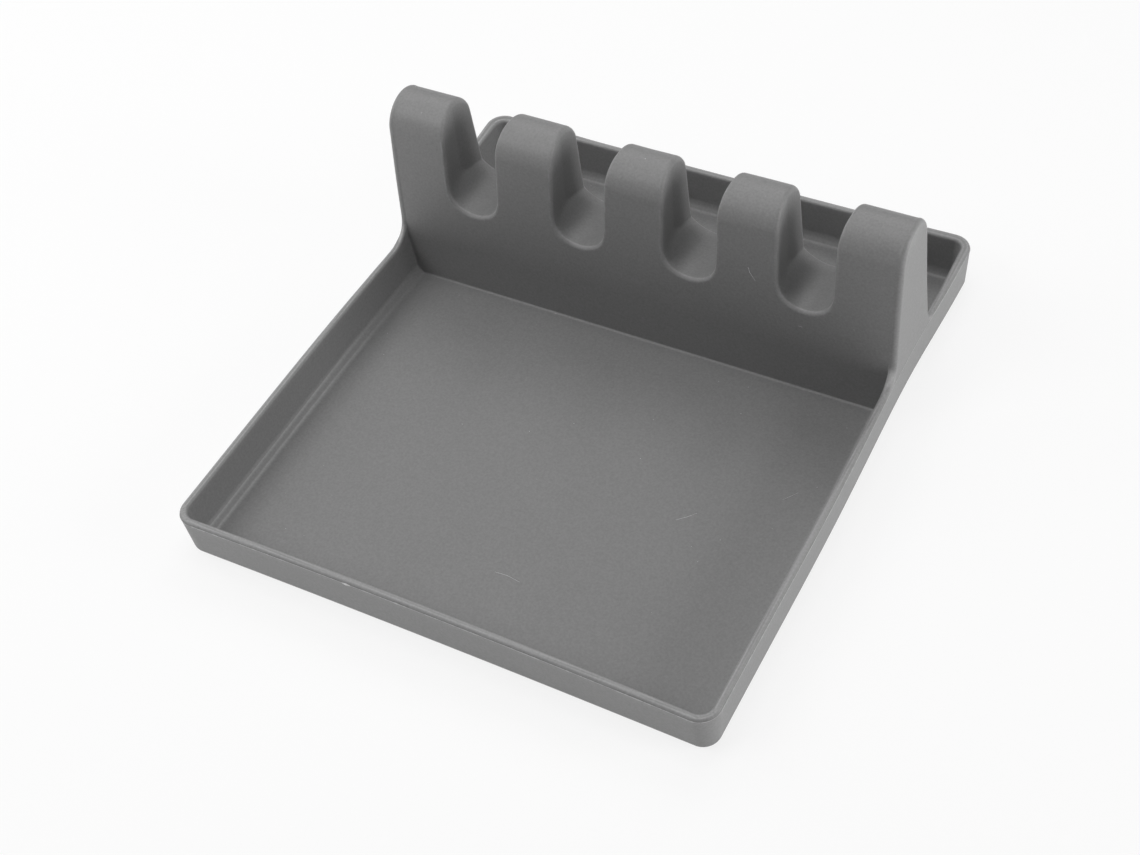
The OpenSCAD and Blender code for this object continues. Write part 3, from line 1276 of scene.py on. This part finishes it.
@dataclass
class Lint:
    """Specks of dust and fibre on the upward faces, in millimetres."""

    per_square_metre: float = 900.0
    smallest: float = 0.05
    largest: float = 0.16
    least_level: float = 0.6
    speck_form: tuple[float, float, float] = (1.0, 0.7, 0.4)
    seed: int = 11
    finish: Paint = Paint("lint", 0.55, 0.9)

    def tree(self) -> tuple[bpy.types.NodeTree, dict[str, str]]:
        """Builds the tree that scatters specks over a surface.

        Returns:
            The tree and its inputs' identifiers.
        """
        tree = bpy.data.node_groups.new("lint_scatter", "GeometryNodeTree")
        inputs = interface_inputs(tree, {"Density": "NodeSocketFloat", "Smallest": "NodeSocketFloat",
                                         "Largest": "NodeSocketFloat", "Seed": "NodeSocketInt",
                                         "Finish": "NodeSocketMaterial"})
        nodes = Nodes(tree)
        given = nodes.add("NodeGroupInput").outputs
        upward = nodes.add("ShaderNodeSeparateXYZ", {0: nodes.add("GeometryNodeInputNormal").outputs[0]})
        level = nodes.add("FunctionNodeCompare", {0: upward.outputs[2], 1: self.least_level},
                          operation="GREATER_THAN")
        spots = nodes.add("GeometryNodeDistributePointsOnFaces", {
            "Mesh": given["Geometry"], "Selection": level.outputs[0], "Density": given["Density"],
            "Seed": given["Seed"]})
        speck = nodes.add("GeometryNodeMeshIcoSphere", {"Radius": 1.0, "Subdivisions": 1})
        squashed = nodes.add("GeometryNodeTransform", {"Geometry": speck.outputs[0],
                                                       "Scale": self.speck_form})
        size = nodes.add("FunctionNodeRandomValue", {2: given["Smallest"], 3: given["Largest"],
                                                     "Seed": given["Seed"]}, data_type="FLOAT")
        sown = nodes.add("GeometryNodeInstanceOnPoints", {
            "Points": spots.outputs["Points"], "Instance": squashed.outputs[0],
            "Rotation": spots.outputs["Rotation"], "Scale": size.outputs[1]})
        nodes.hand_over(sown.outputs[0], given["Finish"])
        return tree, inputs

    def build(self, carriers: list[bpy.types.Object]) -> bpy.types.Object:
        """Scatters the specks.

        Args:
            carriers: The pieces that they lie on.

        Returns:
            The new object.
        """
        gathered = bmesh.new()
        for carrier in carriers:
            gathered.from_mesh(carrier.data)
        base = bpy.data.meshes.new("lint_ground")
        gathered.to_mesh(base)
        gathered.free()
        tree, names = self.tree()
        material = self.finish.material()
        return grown("lint_specks", base, tree, {
            names["Density"]: self.per_square_metre, names["Smallest"]: self.smallest * MM,
            names["Largest"]: self.largest * MM, names["Seed"]: self.seed, names["Finish"]: material})


@dataclass
class Marks:
    """Hair-thin scratches and specks on the floor, the rack's face and the rim, in millimetres."""

    moulding: Moulding
    radius: float = 0.075
    nick_radius: float = 0.36
    speck_length: float = 0.3
    settle_reach: float = 0.4
    swell_turn: float = 2.2
    swell_start: float = 0.47
    sides: int = 6
    dot_x: float = 1.6
    dot_ahead: float = 0.8
    dot_below: float = 1.0
    torn_x: tuple[float, ...] = (-29.0, -27.6, -26.2)
    back_speck_in: float = 4.0
    back_speck_share: float = 2.0
    front_speck_in: float = 9.0
    front_speck_share: float = 0.75
    light: Paint = Paint("light_scratch", 0.5, 0.6)
    dark: Paint = Paint("dark_speck", 0.03, 0.8)
    bright: Paint = Paint("bright_nick", 0.5, 0.6)

    def on_floor(self, *spots: tuple[float, float]) -> list[Place]:
        """Lays a line of spots on the floor.

        Args:
            spots: Their x and y.

        Returns:
            Their places.
        """
        return [(x, y, self.moulding.tray.floor_t) for x, y in spots]

    def on_face(self, *spots: tuple[float, float]) -> list[Place]:
        """Lays a line of spots on the rack's front face.

        Args:
            spots: Their x and z.

        Returns:
            Their places.
        """
        rack = self.moulding.rack
        return [(x, rack.face + (z - rack.foot_z) * rack.tan_front, z) for x, z in spots]

    def light_lines(self) -> list[list[Place]]:
        """Lists the light scratches and specks.

        Returns:
            The places along each.
        """
        return [
            self.on_floor((45.2, -31.8), (47.7, -29.6), (50.0, -27.0)),
            self.on_floor((71.6, -12.1), (73.3, -9.9), (74.9, -7.7)),
            self.on_floor((4.0, -71.0), (8.0, -70.7), (12.6, -71.3)),
            self.on_floor((-1.7, -34.5)), self.on_floor((-58.0, -82.6)), self.on_floor((33.2, 24.5)),
            self.on_floor((78.3, 22.0)), self.on_floor((-61.5, 27.0)),
            self.on_face((40.1, 45.4), (40.7, 43.4), (42.6, 40.7)),
            self.on_face((57.2, 27.7), (58.5, 27.6)), self.on_face((75.2, 32.6)), self.on_face((-41.3, 40.9)),
        ]

    def nicks(self) -> list[list[Place]]:
        """Lists the bright nicks: a dot on a finger's top and a torn bit of the front flash.

        Returns:
            The places along each.
        """
        tray, rack = self.moulding.tray, self.moulding.rack
        dot = (self.dot_x, rack.nose_y - self.dot_ahead, rack.top - self.dot_below)
        return [[dot], [(x, -tray.half_d, tray.parting_z) for x in self.torn_x]]

    def dark_lines(self) -> list[list[Place]]:
        """Lists the dark specks on the rim.

        Returns:
            The places along each.
        """
        tray = self.moulding.tray
        back = tray.half_d - tray.rim_t * self.back_speck_share
        front = tray.half_d - tray.rim_t * self.front_speck_share
        return [[(self.back_speck_in - tray.half_w, back, tray.rim_h)],
                [(self.front_speck_in - tray.half_w, -front, tray.rim_h)]]

    def tree(self) -> tuple[bpy.types.NodeTree, dict[str, str]]:
        """Builds the tree that turns lines into scratches with pointed ends.

        Returns:
            The tree and its inputs' identifiers.
        """
        tree = bpy.data.node_groups.new("scratches", "GeometryNodeTree")
        inputs = interface_inputs(tree, {"Radius": "NodeSocketFloat", "Finish": "NodeSocketMaterial"})
        nodes = Nodes(tree)
        given = nodes.add("NodeGroupInput").outputs
        line = nodes.add("GeometryNodeMeshToCurve", {"Mesh": given["Geometry"]})
        along = nodes.add("GeometryNodeSplineParameter").outputs["Factor"]
        swell = nodes.math("SINE", nodes.math("MULTIPLY_ADD", along, self.swell_turn, self.swell_start))
        radius = nodes.math("MULTIPLY", swell, given["Radius"])
        wide = nodes.add("GeometryNodeSetCurveRadius", {"Curve": line.outputs[0], "Radius": radius})
        ring = nodes.add("GeometryNodeCurvePrimitiveCircle", {"Resolution": self.sides, "Radius": 1.0})
        nodes.hand_over(nodes.sweep(wide.outputs[0], ring.outputs[0], True), given["Finish"])
        return tree, inputs

    def build(self) -> list[bpy.types.Object]:
        """Makes the light marks, the dark ones and the nicks, all laid on the surface.

        Returns:
            The new objects.
        """
        tree, names = self.tree()
        made = []
        sorts = ((self.light, self.light_lines(), self.radius), (self.dark, self.dark_lines(), self.radius),
                 (self.bright, self.nicks(), self.nick_radius))
        for finish, lines, radius in sorts:
            points: list[Place] = []
            ends: list[tuple[int, int]] = []
            for line in lines:
                if len(line) == 1:
                    x, y, z = line[0]
                    line = [(x, y, z), (x + self.speck_length, y, z)]
                ends += [(len(points) + i, len(points) + i + 1) for i in range(len(line) - 1)]
                points += line
            base = bpy.data.meshes.new(finish.name)
            laid = self.moulding.settle(np.array(points), self.settle_reach) * MM
            base.from_pydata(laid.tolist(), ends, [])
            made.append(grown(finish.name, base, tree, {names["Radius"]: radius * MM,
                                                        names["Finish"]: finish.material()}))
        return made


@dataclass(frozen=True)
class Lamp:
    """A soft square lamp: its direction in degrees, and its light on a white card that faces it."""

    name: str
    azimuth: float
    elevation: float
    strength: float
    size: float = 0.4


@dataclass(frozen=True)
class View:
    """The photograph's viewpoint: angles in degrees, and distances in metres from the frame's origin."""

    azimuth: float = 34.82
    elevation: float = 48.54
    roll: float = -9.15
    distance: float = 0.59505
    across: float = -0.00735
    up_by: float = -0.00617
    sensor: float = 36.0
    lens: float = 58.34


@dataclass
class Studio:
    """The white table, the lamps and the camera."""

    table_half: float = 3.0
    table_albedo: float = 0.8
    table_glow: float = 0.85
    table_white_share: float = 0.82
    lamp_distance: float = 0.8
    lamp_target_z: float = 0.02
    view: View = View()
    lamps: tuple[Lamp, ...] = (
        Lamp("above", 0.0, 90.0, 0.33),
        Lamp("behind", 180.0, 45.0, 0.25),
        Lamp("behind_left", -135.0, 45.0, 0.16),
        Lamp("front_left", -45.0, 45.0, 0.345),
        Lamp("left", -90.0, 30.0, 0.31, 0.5),
        Lamp("low_right", 98.0, 15.0, 0.57, 0.35),
        Lamp("low_front", 0.0, 15.0, 0.03),
    )

    def table(self) -> bpy.types.Object:
        """Makes the white table that the rest stands on.

        Returns:
            The new object, which is part of the stage.
        """
        work = bmesh.new()
        bmesh.ops.create_grid(work, x_segments=1, y_segments=1, size=self.table_half)
        mesh = bpy.data.meshes.new("table")
        work.to_mesh(mesh)
        work.free()
        mesh.materials.append(self.table_material())
        table = bpy.data.objects.new("table", mesh)
        bpy.context.scene.collection.objects.link(table)
        return table

    def table_material(self) -> bpy.types.Material:
        """Makes a white that lights the rest softly from below and keeps its faint shadow.

        Returns:
            The material.
        """
        material = bpy.data.materials.new("white_table")
        material.use_nodes = True
        nodes = Nodes(material.node_tree)
        seen = nodes.add("ShaderNodeLightPath")
        paper = nodes.add("ShaderNodeBsdfDiffuse", {"Color": grey(self.table_albedo)})
        glow = nodes.add("ShaderNodeEmission", {"Color": grey(1.0), "Strength": self.table_glow})
        lit = nodes.add("ShaderNodeAddShader", {0: paper.outputs[0], 1: glow.outputs[0]})
        white = nodes.add("ShaderNodeEmission", {"Color": grey(1.0), "Strength": 1.0})
        seen_white = nodes.add("ShaderNodeMixShader", {0: self.table_white_share, 1: paper.outputs[0],
                                                       2: white.outputs[0]})
        direct = nodes.math("MAXIMUM", seen.outputs["Is Camera Ray"],
                            nodes.math("MAXIMUM", seen.outputs["Is Glossy Ray"],
                                       seen.outputs["Is Transmission Ray"]))
        both = nodes.add("ShaderNodeMixShader", {0: direct, 1: lit.outputs[0], 2: seen_white.outputs[0]})
        nodes.add("ShaderNodeOutputMaterial", {"Surface": both.outputs[0]})
        return material

    def world(self) -> None:
        """Surrounds the table with white that only the camera sees."""
        world = bpy.data.worlds.new("white_room")
        world.use_nodes = True
        nodes = Nodes(world.node_tree)
        seen = nodes.add("ShaderNodeLightPath")
        room = nodes.add("ShaderNodeBackground", {"Color": grey(1.0), "Strength": 0.0})
        white = nodes.add("ShaderNodeBackground", {"Color": grey(1.0), "Strength": 1.0})
        both = nodes.add("ShaderNodeMixShader", {0: seen.outputs["Is Camera Ray"], 1: room.outputs[0],
                                                 2: white.outputs[0]})
        nodes.add("ShaderNodeOutputWorld", {"Surface": both.outputs[0]})
        bpy.context.scene.world = world

    def hang(self, lamp: Lamp) -> None:
        """Hangs a lamp so that it looks at the rest.

        Args:
            lamp: The lamp.
        """
        azimuth, elevation = math.radians(lamp.azimuth), math.radians(lamp.elevation)
        out = Vector((math.sin(azimuth) * math.cos(elevation), -math.cos(azimuth) * math.cos(elevation),
                      math.sin(elevation)))
        light = bpy.data.lights.new(lamp.name, "AREA")
        light.energy = lamp.strength * (math.pi * self.lamp_distance) ** 2
        light.size = lamp.size
        hung = bpy.data.objects.new(lamp.name, light)
        hung.location = Vector((0.0, 0.0, self.lamp_target_z)) + out * self.lamp_distance
        hung.rotation_mode = "QUATERNION"
        hung.rotation_quaternion = (-out).to_track_quat("-Z", "Y")
        bpy.context.scene.collection.objects.link(hung)

    def camera(self) -> None:
        """Places the camera as the photograph's stood."""
        view = self.view
        azimuth, elevation, roll = (math.radians(angle)
                                    for angle in (view.azimuth, view.elevation, view.roll))
        back = Vector((math.sin(azimuth) * math.cos(elevation), -math.cos(azimuth) * math.cos(elevation),
                       math.sin(elevation)))
        right = (-back).cross(Vector((0.0, 0.0, 1.0))).normalized()
        up = right.cross(-back)
        level = right * math.cos(roll) + up * math.sin(roll)
        upright = -right * math.sin(roll) + up * math.cos(roll)
        data = bpy.data.cameras.new("photo_camera")
        data.sensor_width = view.sensor
        data.lens = view.lens
        camera = bpy.data.objects.new("photo_camera", data)
        turn = Matrix((level, upright, back)).transposed().to_4x4()
        spot = back * view.distance + level * view.across + upright * view.up_by
        camera.matrix_world = Matrix.Translation(spot) @ turn
        bpy.context.scene.collection.objects.link(camera)
        bpy.context.scene.camera = camera

    def build(self) -> None:
        """Sets up the whole studio."""
        self.table()
        self.world()
        for lamp in self.lamps:
            self.hang(lamp)
        self.camera()
        bpy.context.scene.view_settings.view_transform = "Standard"


def main() -> None:
    """Builds the moulding, its members and the studio."""
    logging.basicConfig(level=logging.INFO, format="%(name)s: %(message)s")
    moulding = Moulding(Tray(), Rack())
    points, quads = Skin(moulding).build()
    LOG.info("skin: %d vertices, %d quads", len(points), len(quads))
    cutter = Cutter(moulding, points, quads)
    rack = moulding.rack
    silicone = Silicone().material(moulding.tray, rack)
    pieces = []
    for member in [*moulding.tray.members(rack.foot_front, rack.foot_back), *rack.members()]:
        piece = cutter.piece(member)
        piece.data.materials.append(silicone)
        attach(piece, "root")
        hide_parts(member.node)
        pieces.append(piece)
        LOG.info("%s: %d faces", piece.name, len(piece.data.polygons))
    for extra in (Flash(moulding).build(), Lint().build(pieces), *Marks(moulding).build()):
        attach(extra, "root")
        LOG.info("%s: %d faces", extra.name, len(extra.data.polygons))
    Studio().build()


if __name__ == "__main__":
    main()
